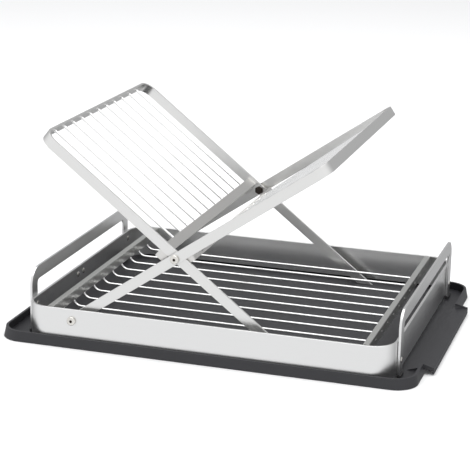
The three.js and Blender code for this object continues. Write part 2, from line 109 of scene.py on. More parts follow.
class Graph:
    """Nodes of one material or of the world, with one way of making any of them."""

    def __init__(self, name: str) -> None:
        """Starts an empty material.

        Args:
            name: Name of the new material.
        """
        self.material = bpy.data.materials.new(name)
        self.material.use_nodes = True
        self.tree = self.material.node_tree
        self.tree.nodes.clear()

    @classmethod
    def of_tree(cls, tree: bpy.types.NodeTree) -> "Graph":
        """Graph that adds to nodes that are there already.

        Args:
            tree: Tree to add to.

        Returns:
            The graph.
        """
        graph = cls.__new__(cls)
        graph.material, graph.tree = None, tree
        return graph

    def node(
        self,
        kind: str,
        settings: Mapping[str, Any] | None = None,
        values: Mapping[str | int, Any] | None = None,
        output: str | int = 0,
    ) -> Signal:
        """Makes a node, sets it up and links it.

        Args:
            kind: Node type, such as ShaderNodeTexNoise.
            settings: Properties of the node.
            values: Numbers, colours or Signals for its inputs, by name or number.
            output: The output that is wanted.

        Returns:
            The wanted output.
        """
        made = self.tree.nodes.new(kind)
        for key, value in (settings or {}).items():
            setattr(made, key, value)
        for key, value in (values or {}).items():
            if isinstance(value, Signal):
                self.tree.links.new(value.socket, made.inputs[key])
            else:
                made.inputs[key].default_value = value
        return Signal(self, made.outputs[output] if len(made.outputs) else None)

    def maths(self, operation: str, *values: "Signal | float") -> Signal:
        """Makes a Math node.

        Args:
            operation: Its operation.
            values: Its numbers or Signals, in order.

        Returns:
            Its value.
        """
        return self.node("ShaderNodeMath", {"operation": operation}, dict(enumerate(values)))

    def place(self, scale: Sequence[float], turn: float = 0.0) -> Signal:
        """Object coordinates, turned about Y and then stretched.

        Args:
            scale: Stretch along each axis, per metre.
            turn: Angle about Y in radians.

        Returns:
            The coordinates as a vector.
        """
        base = self.node("ShaderNodeTexCoord", output="Object")
        turned = self.node(
            "ShaderNodeVectorRotate",
            {"rotation_type": "Y_AXIS"},
            {"Vector": base, "Angle": turn},
        )
        return self.node(
            "ShaderNodeVectorMath",
            {"operation": "MULTIPLY"},
            {0: turned, 1: tuple(scale)},
        )

    def noise(self, where: Signal, scale: float, detail: float = 3.0) -> Signal:
        """Smooth noise from 0 to 1.

        Args:
            where: Coordinates to read it at.
            scale: Waves per unit.
            detail: Octaves.

        Returns:
            The noise value.
        """
        return self.node(
            "ShaderNodeTexNoise",
            values={"Vector": where, "Scale": scale, "Detail": detail, "Roughness": 0.6},
        )

    def blend(self, share: Signal, first: Sequence[float], second: Sequence[float]) -> Signal:
        """Mix of two colours.

        Args:
            share: Share of the second colour.
            first: Colour where share is 0.
            second: Colour where share is 1.

        Returns:
            The mixed colour.
        """
        return self.node(
            "ShaderNodeMix",
            {"data_type": "RGBA"},
            {0: share, 6: (*first, 1.0), 7: (*second, 1.0)},
            output=2,
        )

    def bump(self, height: Signal, strength: float, distance: float) -> Signal:
        """Surface relief.

        Args:
            height: Height from 0 to 1.
            strength: Strength of the effect.
            distance: Height of 1 in metres.

        Returns:
            The bent normal.
        """
        return self.node(
            "ShaderNodeBump",
            values={"Height": height, "Strength": strength, "Distance": distance},
        )

    def surface(self, values: Mapping[str | int, Any]) -> bpy.types.Material:
        """Ends the material with a Principled surface.

        Args:
            values: Inputs of the surface.

        Returns:
            The finished material.
        """
        shader = self.node("ShaderNodeBsdfPrincipled", values=values)
        self.node("ShaderNodeOutputMaterial", values={"Surface": shader})
        return self.material


@dataclass(frozen=True)
class BrushedSteel:
    """Satin stainless sheet with fine polishing lines, faint smears and handling marks."""

    name: str
    brushing: Brushing
    turn: float = 0.0
    bright: tuple[float, float, float] = (0.80, 0.80, 0.795)
    dull: tuple[float, float, float] = (0.74, 0.74, 0.735)
    rough: float = 0.225
    grain: float = 90.0
    smear_scale: float = 14.0
    line_share: float = 0.7
    line_rough: float = 0.10
    smear_rough: float = 0.05
    relief: float = 0.05
    depth: float = 0.00002

    def material(self) -> bpy.types.Material:
        """Makes the material.

        Returns:
            The material.
        """
        g = Graph(self.name)
        lines = g.noise(g.place(self.brushing.value, self.turn), self.grain, 4.0)
        smear = g.noise(g.place(EVEN), self.smear_scale, 2.0)
        shade = lines * self.line_share + smear * (1 - self.line_share)
        return g.surface(
            {
                "Base Color": g.blend(shade, self.dull, self.bright),
                "Metallic": 1.0,
                "Roughness": lines * self.line_rough + smear * self.smear_rough + self.rough,
                "Normal": g.bump(lines, self.relief, self.depth),
            }
        )


@dataclass(frozen=True)
class DrawnWire:
    """Bright drawn and electropolished wire."""

    name: str
    tone: tuple[float, float, float] = (0.88, 0.88, 0.875)
    dulling: float = 0.86
    rough: float = 0.11
    drawn_scale: float = 45.0
    drawn_rough: float = 0.10
    fine_scale: float = 900.0
    fine_rough: float = 0.06
    relief: float = 0.05
    depth: float = 0.00003

    def material(self) -> bpy.types.Material:
        """Makes the material.

        Returns:
            The material.
        """
        g = Graph(self.name)
        drawn = g.noise(g.place(EVEN), self.drawn_scale, 3.0)
        fine = g.noise(g.place(EVEN), self.fine_scale, 2.0)
        dull = tuple(self.dulling * part for part in self.tone)
        return g.surface(
            {
                "Base Color": g.blend(drawn, dull, self.tone),
                "Metallic": 1.0,
                "Roughness": drawn * self.drawn_rough + fine * self.fine_rough + self.rough,
                "Normal": g.bump(fine, self.relief, self.depth),
            }
        )


@dataclass(frozen=True)
class MouldedPlastic:
    """Moulded plastic or rubber with a spark-eroded grain and a faint bloom."""

    name: str
    tone: tuple[float, float, float]
    bloom: tuple[float, float, float]
    rough: float = 0.35
    grain: float = 1400.0
    relief: float = 0.22
    depth: float = 0.0001
    cell_scale: float = 0.8
    flow_scale: float = 11.0
    share: float = 0.6
    pit_rough: float = 0.14
    flow_rough: float = 0.12
    shine: float = 0.42

    def material(self) -> bpy.types.Material:
        """Makes the material.

        Returns:
            The material.
        """
        g = Graph(self.name)
        here = g.place(EVEN)
        pits = g.noise(here, self.grain, 3.0)
        cells = g.node(
            "ShaderNodeTexVoronoi", values={"Vector": here, "Scale": self.grain * self.cell_scale}
        )
        flow = g.noise(here, self.flow_scale, 3.0)
        rest = 1 - self.share
        return g.surface(
            {
                "Base Color": g.blend(flow * self.share + pits * rest, self.tone, self.bloom),
                "Roughness": pits * self.pit_rough + flow * self.flow_rough + self.rough,
                "Normal": g.bump(pits * self.share + cells * rest, self.relief, self.depth),
                "Specular IOR Level": self.shine,
            }
        )


@dataclass(frozen=True)
class TurnedMetal:
    """Machined fastener metal with a fine grain and faint stains."""

    name: str
    tone: tuple[float, float, float]
    shadow: tuple[float, float, float]
    rough: float = 0.16
    metallic: float = 1.0
    grain_scale: float = 700.0
    grain_rough: float = 0.2
    stain_scale: float = 120.0
    relief: float = 0.10
    depth: float = 0.00005

    def material(self) -> bpy.types.Material:
        """Makes the material.

        Returns:
            The material.
        """
        g = Graph(self.name)
        grain = g.noise(g.place(EVEN), self.grain_scale, 4.0)
        stain = g.noise(g.place(EVEN), self.stain_scale, 2.0)
        return g.surface(
            {
                "Base Color": g.blend(stain, self.shadow, self.tone),
                "Metallic": self.metallic,
                "Roughness": grain * self.grain_rough + self.rough,
                "Normal": g.bump(grain, self.relief, self.depth),
            }
        )


@dataclass(frozen=True)
class StudioPaper:
    """Seamless pale paper under the rack."""

    name: str = "studio_paper"
    tone: tuple[float, float, float] = (0.93, 0.93, 0.93)
    rough: float = 0.9

    def material(self) -> bpy.types.Material:
        """Makes the material.

        Returns:
            The material.
        """
        return Graph(self.name).surface({"Base Color": (*self.tone, 1.0), "Roughness": self.rough})


@dataclass
class Finishes:
    """Every finish of the rack, made once."""

    made: dict[str, bpy.types.Material] = field(default_factory=dict)

    def __post_init__(self) -> None:
        """Makes each finish and keeps it by name."""
        warm = (0.80, 0.795, 0.775)
        finishes = (
            BrushedSteel("ring_steel", Brushing.LEVEL),
            BrushedSteel("handle_steel", Brushing.CROSSWISE),
            # Ledge steel is the ring's steel with a darker tone: painted shade for the ledge faces that
            # stand in shadow.
            BrushedSteel(
                "ledge_steel", Brushing.CROSSWISE, bright=(0.66, 0.66, 0.64), dull=(0.58, 0.58, 0.56)
            ),
            BrushedSteel("frame_steel_a", Brushing.LENGTHWISE, -LEAN_A, bright=warm),
            BrushedSteel("frame_steel_b", Brushing.LENGTHWISE, LEAN_B, bright=warm),
            BrushedSteel(
                "crossbar_steel", Brushing.CROSSWISE, bright=(0.74, 0.73, 0.71), dull=(0.68, 0.67, 0.65)
            ),
            DrawnWire("grid_wire"),
            DrawnWire("rod_wire", tone=(0.93, 0.93, 0.925)),
            MouldedPlastic("tray_plastic", (0.017, 0.017, 0.0195), (0.029, 0.029, 0.033)),
            MouldedPlastic("foot_rubber", (0.018, 0.018, 0.019), (0.03, 0.03, 0.031), 0.57, 900.0),
            TurnedMetal("fastener_steel", (0.82, 0.80, 0.76), (0.62, 0.60, 0.56)),
            TurnedMetal("recess_shadow", (0.10, 0.085, 0.07), (0.05, 0.04, 0.03), 0.42),
            TurnedMetal("blackened_nut", (0.045, 0.035, 0.028), (0.02, 0.016, 0.013), 0.30, 0.6),
        )
        for finish in finishes:
            self.made[finish.name] = finish.material()

    def __getitem__(self, name: str) -> bpy.types.Material:
        """Finish of that name."""
        return self.made[name]


# ---- Shaping ----


class Stock:
    """A length of metal or plastic being shaped, in millimetres."""

    def __init__(self) -> None:
        """Starts with nothing."""
        self.bm = bmesh.new()
        self.front: list[BMEdge] = []

    def flat_bar(self, size: tuple[float, float], where: Matrix) -> "Stock":
        """Starts a bar of rectangular section.

        Args:
            size: Its two sides.
            where: Puts the section's XY plane in place.

        Returns:
            This stock.
        """
        quad = bmesh.ops.create_grid(self.bm, x_segments=1, y_segments=1, size=0.5)["verts"]
        bmesh.ops.scale(self.bm, vec=(*size, 1.0), verts=quad)
        bmesh.ops.transform(self.bm, matrix=where, verts=quad)
        self.front = list({edge for vert in quad for edge in vert.link_edges})
        return self

    def round_bar(self, radius: float, sides: int, where: Matrix) -> "Stock":
        """Starts a bar of round section.

        Args:
            radius: Its radius.
            sides: Sides of the section.
            where: Puts the section's XY plane in place.

        Returns:
            This stock.
        """
        disc = bmesh.ops.create_circle(self.bm, cap_ends=True, segments=sides, radius=radius)["verts"]
        bmesh.ops.transform(self.bm, matrix=where, verts=disc)
        self.front = list({edge for vert in disc for edge in vert.link_edges})
        return self

    def straight(self, run: Sequence[float], swell: float = 1.0) -> "Stock":
        """Carries the front section straight on.

        Args:
            run: How far it goes.
            swell: Growth of the section on the way.

        Returns:
            This stock.
        """
        grown = bmesh.ops.extrude_edge_only(self.bm, edges=self.front)["geom"]
        verts = [item for item in grown if isinstance(item, BMVert)]
        bmesh.ops.translate(self.bm, vec=run, verts=verts)
        if swell != 1.0:
            middle = sum((vert.co for vert in verts), Vector()) / len(verts)
            bmesh.ops.scale(
                self.bm, vec=(swell,) * 3, space=Matrix.Translation(-middle), verts=verts
            )
        self.front = [item for item in grown if isinstance(item, BMEdge) and item.is_boundary]
        return self

    def bend(
        self, centre: Sequence[float], axis: Sequence[float], angle: float, steps: int = 10
    ) -> "Stock":
        """Carries the front section round a bend.

        Args:
            centre: Centre of the bend.
            axis: Axis of the bend.
            angle: Angle turned through, in radians.
            steps: Steps round it.

        Returns:
            This stock.
        """
        verts = list({vert for edge in self.front for vert in edge.verts})
        spun = bmesh.ops.spin(
            self.bm, geom=verts + self.front, cent=centre, axis=axis, dvec=(0, 0, 0),
            angle=angle, steps=steps, use_merge=False, use_duplicate=False,
        )["geom_last"]
        self.front = [item for item in spun if isinstance(item, BMEdge)]
        return self

    def close_end(self) -> "Stock":
        """Closes the front section with a face."""
        bmesh.ops.edgeloop_fill(self.bm, edges=self.front)
        self.front = []
        return self

    def turned(self, profile: Iterable[tuple[float, float]], steps: int = 32) -> "Stock":
        """Turns a profile about Z, as on a lathe.

        Args:
            profile: (radius, height) points.
            steps: Steps round the turn.

        Returns:
            This stock.
        """
        points = [self.bm.verts.new((radius, 0.0, height)) for radius, height in profile]
        edges = [self.bm.edges.new(pair) for pair in zip(points, points[1:])]
        bmesh.ops.spin(
            self.bm, geom=points + edges, cent=(0, 0, 0), axis=(0, 0, 1), dvec=(0, 0, 0),
            angle=2 * math.pi, steps=steps, use_merge=True, use_duplicate=False,
        )
        bmesh.ops.remove_doubles(self.bm, verts=self.bm.verts, dist=1e-4)
        return self

    def round_off(self, picked: Iterable[BMEdge], radius: float, segments: int) -> "Stock":
        """Rounds chosen edges.

        Args:
            picked: Edges to round.
            radius: Setback from each edge.
            segments: Steps across the round.

        Returns:
            This stock.
        """
        bmesh.ops.bevel(
            self.bm, geom=list(picked), offset=radius, offset_type="OFFSET", affect="EDGES",
            segments=segments, profile=0.5, material=-1, clamp_overlap=True,
        )
        return self

    def ease(self, radius: float, segments: int = 2, sharp: float = 0.6) -> "Stock":
        """Takes the sharpness off every corner edge.

        Args:
            radius: Setback from each edge.
            segments: Steps across the round.
            sharp: Least angle of a corner edge, in radians.

        Returns:
            This stock.
        """
        corners = [
            edge for edge in self.bm.edges
            if len(edge.link_faces) == 2 and edge.calc_face_angle(0.0) > sharp
        ]
        return self.round_off(corners, radius, segments)

    def cut_below(self, point: Sequence[float], outward: Sequence[float]) -> "Stock":
        """Cuts off everything on one side of a plane and closes the cut.

        Args:
            point: Point on the plane.
            outward: Direction of the side that goes.

        Returns:
            This stock.
        """
        everything = [*self.bm.verts, *self.bm.edges, *self.bm.faces]
        cut = bmesh.ops.bisect_plane(
            self.bm, geom=everything, plane_co=point, plane_no=outward, clear_outer=True
        )["geom_cut"]
        bmesh.ops.edgeloop_fill(self.bm, edges=[item for item in cut if isinstance(item, BMEdge)])
        return self

    def move(self, where: Matrix) -> "Stock":
        """Puts everything shaped so far in place.

        Args:
            where: The placing matrix.

        Returns:
            This stock.
        """
        bmesh.ops.transform(self.bm, matrix=where, verts=self.bm.verts)
        return self

    def finish(
        self,
        name: str,
        material: bpy.types.Material,
        body: Body,
        slot: str,
        nodes: Sequence[str] = (),
        second: bpy.types.Material | None = None,
    ) -> bpy.types.Object:
        """Turns the stock into a finished piece of the rack.

        Args:
            name: Name of the piece.
            material: Its finish.
            body: Body that it rides on.
            slot: Record's slot that the finish belongs to; not used.
            nodes: CAD nodes that it stands for.
            second: Finish of the faces marked with material 1.

        Returns:
            The new object.
        """
        bmesh.ops.recalc_face_normals(self.bm, faces=self.bm.faces)
        bmesh.ops.scale(self.bm, vec=(METRES,) * 3, verts=self.bm.verts)
        for face in self.bm.faces:
            face.smooth = True
        mesh = bpy.data.meshes.new(name)
        self.bm.to_mesh(mesh)
        self.bm.free()
        mesh.materials.append(material)
        if second:
            mesh.materials.append(second)
        mesh.set_sharp_from_angle(angle=SHARP_ANGLE)
        piece = bpy.data.objects.new(name, mesh)
        evened = piece.modifiers.new("even_faces", "WEIGHTED_NORMAL")
        evened.keep_sharp = True
        bpy.context.scene.collection.objects.link(piece)
        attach(piece, body.value)
        if nodes:
            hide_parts(*nodes)
        LOG.info("%s: %d faces on %s", name, len(mesh.polygons), body.value)
        return piece


def facing(x_to: Sequence[float], y_to: Sequence[float], origin: Sequence[float]) -> Matrix:
    """Matrix that sends X and Y to two directions, and the origin to a point.

    Args:
        x_to: Where X goes.
        y_to: Where Y goes.
        origin: Where the origin goes.

    Returns:
        The matrix.
    """
    x, y = Vector(x_to), Vector(y_to)
    return Matrix.Translation(origin) @ Matrix((x, y, x.cross(y))).transposed().to_4x4()


def from_node(node: str) -> Stock:
    """Stock in the exact shape of a CAD node, with its flats whole again.

    Args:
        node: Name of the node.

    Returns:
        The stock.
    """
    same_point, same_plane = 0.002, math.radians(1.0)
    stock = Stock()
    stock.bm.from_mesh(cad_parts[node].data)
    bmesh.ops.scale(stock.bm, vec=(1 / METRES,) * 3, verts=stock.bm.verts)
    bmesh.ops.remove_doubles(stock.bm, verts=stock.bm.verts, dist=same_point)
    bmesh.ops.dissolve_limit(
        stock.bm, angle_limit=same_plane, verts=stock.bm.verts, edges=stock.bm.edges
    )
    return stock


# ---- Sub-assemblies ----


@dataclass
class DripTray:
    """Shallow moulded tray with a drain spout at its right end."""

    finishes: Finishes
    rim_round: float = 0.9

    def build(self) -> None:
        """Shapes the tray with its softened rim."""
        stock = from_node("tray").ease(self.rim_round, 3, sharp=0.5)
        stock.finish("drip_tray", self.finishes["tray_plastic"], Body.TRAY, "tray_plastic", ("tray",))


@dataclass
class Ring:
    """Flat-bar ring round the rack, bent from one strip and closed on its left side."""

    finishes: Finishes
    centre_x: float = CENTRE_X
    half_length: float = 220.0
    half_depth: float = 182.5
    bottom: float = 6.0
    height: float = 39.5
    thickness: float = 3.0
    corner: float = 28.0
    seam_y: float = -16.5
    seam_gap: float = 0.25
    edge_round: float = 0.55
    spot_weld_x: tuple[float, ...] = (-192.4, -188.4, 184.2, 188.2)
    spot_weld_z: float = 39.5
    steps: int = 14

    def build(self) -> None:
        """Bends the strip and marks the spot welds."""
        self.strip().finish(
            "ring_band", self.finishes["ring_steel"], Body.RACK, "ring_steel", ("ring",)
        )
        for side, depth in SIDES:
            marks = Stock()
            for x in self.spot_weld_x:
                self.spot_weld(marks, x, side)
            marks.finish(f"spot_welds_{depth}", self.finishes["ring_steel"], Body.RACK, "ring_steel")

    def strip(self) -> Stock:
        """Strip bent round four corners.

        Returns:
            The bent strip.
        """
        left, right = self.centre_x - self.half_length, self.centre_x + self.half_length
        inset = self.corner
        middle = self.bottom + self.height / 2
        up = (0, 0, 1)
        seam = (left + self.thickness / 2, self.seam_y - self.seam_gap / 2, middle)
        stock = Stock().flat_bar((self.thickness, self.height), facing((1, 0, 0), up, seam))
        corners = (
            (left + inset, -self.half_depth + inset),
            (right - inset, -self.half_depth + inset),
            (right - inset, self.half_depth - inset),
            (left + inset, self.half_depth - inset),
        )
        runs = (
            (0, -self.half_depth + inset - self.seam_y + self.seam_gap / 2, 0),
            (2 * (self.half_length - inset), 0, 0),
            (0, 2 * (self.half_depth - inset), 0),
            (-2 * (self.half_length - inset), 0, 0),
        )
        for (x, y), run in zip(corners, runs):
            stock.straight(run).bend((x, y, 0), up, QUARTER, self.steps)
        stock.straight((0, self.seam_y + self.seam_gap / 2 - self.half_depth + inset, 0)).close_end()
        return stock.ease(self.edge_round, 3)

    def spot_weld(self, stock: Stock, x: float, side: int) -> None:
        """Adds one shallow weld dimple to the stock.

        Args:
            stock: Stock that gathers the welds.
            x: Where it is along the wall.
            side: -1 for the front wall and 1 for the back wall.
        """
        dimple = ((0, -0.1), (1.9, -0.1), (1.9, 0.02), (1.4, 0.14), (0.9, 0.03), (0, 0.02))
        mark = Stock().turned(dimple, ROUND_SIDES)
        mark.move(facing((1, 0, 0), (0, 0, -side), (x, side * self.half_depth, self.spot_weld_z)))
        held = bpy.data.meshes.new("held")
        mark.bm.to_mesh(held)
        stock.bm.from_mesh(held)
        mark.bm.free()
        bpy.data.meshes.remove(held)


@dataclass
class Handles:
    """Flat-bar carrying handles riveted to the ends of the ring, on rubber feet."""

    finishes: Finishes
    centre_x: float = CENTRE_X
    inner_face: float = 220.3
    thickness: float = 3.0
    width: float = 16.0
    half_span: float = 157.0
    corner: float = 21.0
    leg_bottom: float = 6.4
    top: float = 79.2
    foot_size: tuple[float, float, float] = (4.6, 18.0, 3.5)
    foot_bottom: float = 2.6
    foot_round: float = 0.6
    edge_round: float = 0.5

    def build(self) -> None:
        """Makes both handles and their feet."""
        for end, side in ENDS:
            self.handle(end).finish(
                f"carry_handle_{side}", self.finishes["handle_steel"], Body.RACK,
                "handle_steel", (f"handle_{side}",),
            )
            for across, depth in SIDES:
                self.foot(end, across).finish(
                    f"foot_pad_{side}_{depth}", self.finishes["foot_rubber"], Body.RACK,
                    "foot_rubber", (f"rubber_foot_{side}_{depth}",),
                )

    def handle(self, end: int) -> Stock:
        """One handle.

        Args:
            end: -1 for the left end and 1 for the right end.

        Returns:
            The handle's stock.
        """
        x = self.centre_x + end * (self.inner_face + self.thickness / 2)
        y = self.half_span - self.width / 2
        bend_y, bend_z = self.half_span - self.corner, self.top - self.corner
        sideways = (1, 0, 0)
        start = facing(sideways, (0, 1, 0), (x, -y, self.leg_bottom))
        stock = Stock().flat_bar((self.thickness, self.width), start)
        stock.straight((0, 0, bend_z - self.leg_bottom))
        stock.bend((x, -bend_y, bend_z), sideways, -QUARTER)
        stock.straight((0, 2 * bend_y, 0))
        stock.bend((x, bend_y, bend_z), sideways, -QUARTER)
        stock.straight((0, 0, self.leg_bottom - bend_z)).close_end()
        return stock.ease(self.edge_round)

    def foot(self, end: int, across: int) -> Stock:
        """One rubber foot pad.

        Args:
            end: -1 for the left end and 1 for the right end.
            across: -1 for the front and 1 for the back.

        Returns:
            The pad's stock.
        """
        wide, long, high = self.foot_size
        x = self.centre_x + end * (self.inner_face + wide / 2)
        y = across * (self.half_span - self.width / 2)
        stock = Stock().flat_bar((wide, long), facing((1, 0, 0), (0, 1, 0), (x, y, self.foot_bottom)))
        stock.straight((0, 0, high)).close_end()
        upright = [
            edge for edge in stock.bm.edges if abs(edge.verts[0].co.z - edge.verts[1].co.z) > TOUCH
        ]
        return stock.round_off(upright, wide / 3, 4).ease(self.foot_round, 3)


@dataclass
class WireGrid:
    """Ten wires hung between two channel ledges that are welded across the ring."""

    finishes: Finishes
    centre_x: float = CENTRE_X
    ledge_near: float = 184.6
    ledge_width: float = 7.4
    ledge_top: float = 45.5
    ledge_height: float = 12.3
    ledge_half_length: float = 178.7
    ledge_wall: float = 1.0
    fold_radius: float = 1.4
    wire_radius: float = 1.5
    wire_x: float = 188.0
    wire_z: float = 24.7
    wire_top: float = 41.5
    wire_pitch: float = 31.6
    wire_count: int = 10
    wire_round: float = 0.3
    bend_radius: float = 11.0
    bend_steps: int = 9
    weld_height: float = 39.0
    weld_size: tuple[float, float, float] = (0.45, 2.4, 0.9)

    def build(self) -> None:
        """Makes the ledges, the wires and the welds that show outside the ledges."""
        for end, side in ENDS:
            # The ledges take the darker ledge steel, whose lower tone is painted shade.
            self.ledge(end).finish(
                f"channel_ledge_{side}", self.finishes["ledge_steel"], Body.RACK,
                "ledge_steel", (f"ledge_{side}",),
            )
        for number in range(self.wire_count):
            y = (number - (self.wire_count - 1) / 2) * self.wire_pitch
            self.wire(y).finish(
                f"hung_wire_{number + 1:02d}", self.finishes["grid_wire"], Body.RACK,
                "grid_wire", (f"grid_wire_{number + 1:02d}",),
            )
            for end, side in ENDS:
                self.weld(end, y).finish(
                    f"wire_weld_{side}_{number + 1:02d}", self.finishes["grid_wire"],
                    Body.RACK, "grid_wire",
                )

    def ledge(self, end: int) -> Stock:
        """One folded channel, open below.

        Args:
            end: -1 for the left ledge and 1 for the right one.

        Returns:
            The channel's stock.
        """
        middle = self.centre_x + end * (self.ledge_near + self.ledge_width / 2)
        start = (middle, -self.ledge_half_length, self.ledge_top - self.ledge_height / 2)
        stock = Stock().flat_bar(
            (self.ledge_width, self.ledge_height), facing((1, 0, 0), (0, 0, 1), start)
        )
        stock.straight((0, 2 * self.ledge_half_length, 0))
        near_end = TOUCH - self.ledge_half_length
        underside = self.ledge_top - self.ledge_height + TOUCH
        opened = [
            face for face in stock.bm.faces
            if face.calc_center_median().y < near_end or face.calc_center_median().z < underside
        ]
        bmesh.ops.delete(stock.bm, geom=opened, context="FACES")
        upper = self.ledge_top - TOUCH
        folds = [
            edge for edge in stock.bm.edges
            if len(edge.link_faces) == 2 and min(vert.co.z for vert in edge.verts) > upper
        ]
        stock.round_off(folds, self.fold_radius, 4)
        bmesh.ops.recalc_face_normals(stock.bm, faces=stock.bm.faces)
        top = max(stock.bm.faces, key=lambda face: face.calc_center_median().z)
        if top.normal.z < 0:
            bmesh.ops.reverse_faces(stock.bm, faces=stock.bm.faces)
        bmesh.ops.solidify(stock.bm, geom=stock.bm.faces, thickness=self.ledge_wall)
        return stock

    def wire(self, y: float) -> Stock:
        """One hung wire.

        Args:
            y: Its place across the rack.

        Returns:
            The wire's stock.
        """
        left, right = self.centre_x - self.wire_x, self.centre_x + self.wire_x
        bend_z = self.wire_z + self.bend_radius
        across = (0, 1, 0)
        start = facing((1, 0, 0), across, (left, y, self.wire_top))
        stock = Stock().round_bar(self.wire_radius, ROUND_SIDES, start)
        stock.straight((0, 0, bend_z - self.wire_top))
        stock.bend((left + self.bend_radius, y, bend_z), across, -QUARTER, self.bend_steps)
        stock.straight((right - left - 2 * self.bend_radius, 0, 0))
        stock.bend((right - self.bend_radius, y, bend_z), across, -QUARTER, self.bend_steps)
        return stock.straight((0, 0, self.wire_top - bend_z)).close_end().ease(self.wire_round)

    def weld(self, end: int, y: float) -> Stock:
        """Weld bead that shows on a ledge's outer face behind a wire.

        Args:
            end: -1 for the left ledge and 1 for the right one.
            y: Place of the wire.

        Returns:
            The bead's stock.
        """
        face = self.centre_x + end * (self.ledge_near + self.ledge_width)
        stock = Stock()
        bead = bmesh.ops.create_uvsphere(stock.bm, u_segments=12, v_segments=8, radius=1.0)["verts"]
        bmesh.ops.scale(stock.bm, vec=self.weld_size, verts=bead)
        return stock.move(Matrix.Translation((face, y, self.weld_height)))


@dataclass
class Wing:
    """One plate frame of the crossed pair: a bent flat bar with rods along it.

    Its own axes are X up along the frame from the crossing pivot, Y across the rack, and Z off
    the plane of the frame upwards.
    """

    finishes: Finishes
    letter: str
    body: Body
    lean: float
    heading: int
    outer_y: float
    reach: float
    rod_from: float
    rod_drop: float
    pivot: tuple[float, float] = CROSSING
    width: float = 12.3
    thickness: float = 3.0
    corner: float = 18.0
    corner_steps: int = 12
    edge_round: float = 0.5
    rod_radius: float = 1.5
    rod_count: int = 11
    rod_pitch: float = 26.4
    weld_flare: float = 0.9
    weld_spread: float = 1.45
    weld_sink: float = 0.25

    @property
    def place(self) -> Matrix:
        """Matrix from the wing's own axes to the part's frame."""
        cos, sin = math.cos(self.lean), math.sin(self.lean)
        along = Vector((self.heading * cos, 0, sin))
        off = Vector((-self.heading * sin, 0, cos))
        turn = Matrix((along, Vector((0, 1, 0)), off)).transposed().to_4x4()
        return Matrix.Translation((self.pivot[0], 0, self.pivot[1])) @ turn

    @property
    def steel(self) -> bpy.types.Material:
        """Finish of the wing's flat bar."""
        return self.finishes[f"frame_steel_{self.letter}"]

    def hoop(self, start: float) -> Stock:
        """Flat bar bent round the two upper corners, on the wing's own axes.

        Args:
            start: Where its ends are along the frame.

        Returns:
            The hoop's stock, its edges still sharp.
        """
        middle = self.outer_y - self.thickness / 2
        bend_x, bend_y = self.reach - self.corner, self.outer_y - self.corner
        off, steps = (0, 0, 1), self.corner_steps
        foot = facing((0, 1, 0), off, (start, -middle, 0))
        stock = Stock().flat_bar((self.thickness, self.width), foot)
        stock.straight((bend_x - start, 0, 0)).bend((bend_x, -bend_y, 0), off, QUARTER, steps)
        stock.straight((0, 2 * bend_y, 0)).bend((bend_x, bend_y, 0), off, QUARTER, steps)
        return stock.straight((start - bend_x, 0, 0)).close_end()

    def rods(self) -> None:
        """Makes the rods with the small weld flares at their ends."""
        span = self.reach - self.thickness - GAP - self.rod_from
        run = Vector((1, 0, self.rod_drop / span)).normalized()
        length = math.hypot(span, self.rod_drop) + 2 * self.weld_sink
        flare, spread = self.weld_flare, self.weld_spread
        for number in range(self.rod_count):
            y = (number - (self.rod_count - 1) / 2) * self.rod_pitch
            start = Vector((self.rod_from, y, -self.rod_drop)) - self.weld_sink * run
            stock = Stock().round_bar(
                self.rod_radius * spread, ROUND_SIDES, facing((0, 1, 0), (-run.z, 0, run.x), start)
            )
            stock.straight(run * flare, 1 / spread).straight(run * (length - 2 * flare))
            stock.straight(run * flare, spread).close_end().move(self.place)
            label = self.rod_count - number if self.letter == "a" else number + 1
            stock.finish(
                f"plate_rod_{self.letter}_{label:02d}", self.finishes["rod_wire"], self.body,
                "rod_wire", (f"rod_{self.letter}_{label:02d}",),
            )


@dataclass
class LeftFrame(Wing):
    """Frame A, leaning left, whose free legs stand on the tray floor."""

    letter: str = "a"
    body: Body = Body.FRAME_A
    lean: float = LEAN_A
    heading: int = -1
    outer_y: float = 166.5
    reach: float = 209.0
    rod_from: float = 21.6
    rod_drop: float = 0.0
    leg_end: float = 2.6
    leg_length: float = 186.4
    bar_near: float = 9.0
    bar_top: float = 1.5
    bar_sheet: float = 2.0
    tab_y: float = 163.2
    tab_reach: float = 17.5
    tab_bend: float = 4.0
    bar_round: float = 0.35

    def build(self) -> None:
        """Makes the hoop, its crossbar and its rods."""
        hoop = self.hoop(-self.leg_length - self.width).move(self.place)
        hoop.cut_below((0, 0, self.leg_end), (0, 0, -1)).ease(self.edge_round)
        hoop.finish("frame_hoop_a", self.steel, self.body, "frame_steel", ("frame_a",))
        self.crossbar().finish(
            "crossbar_strip_a", self.finishes["crossbar_steel"], self.body,
            "frame_steel", ("crossbar_a",),
        )
        self.rods()

    def crossbar(self) -> Stock:
        """Strip across the frame with its ends folded down.

        Returns:
            The crossbar's stock.
        """
        middle = self.tab_y - self.bar_sheet / 2
        bend_y, bend_z = self.tab_y - self.tab_bend, self.bar_top - self.tab_bend
        along = (1, 0, 0)
        centre = self.bar_near + self.width / 2
        start = facing(along, (0, 1, 0), (centre, -middle, -self.tab_reach))
        stock = Stock().flat_bar((self.width, self.bar_sheet), start)
        stock.straight((0, 0, self.tab_reach + bend_z)).bend((0, -bend_y, bend_z), along, -QUARTER, 6)
        stock.straight((0, 2 * bend_y, 0)).bend((0, bend_y, bend_z), along, -QUARTER, 6)
        stock.straight((0, 0, -self.tab_reach - bend_z)).close_end()
        return stock.ease(self.bar_round).move(self.place)


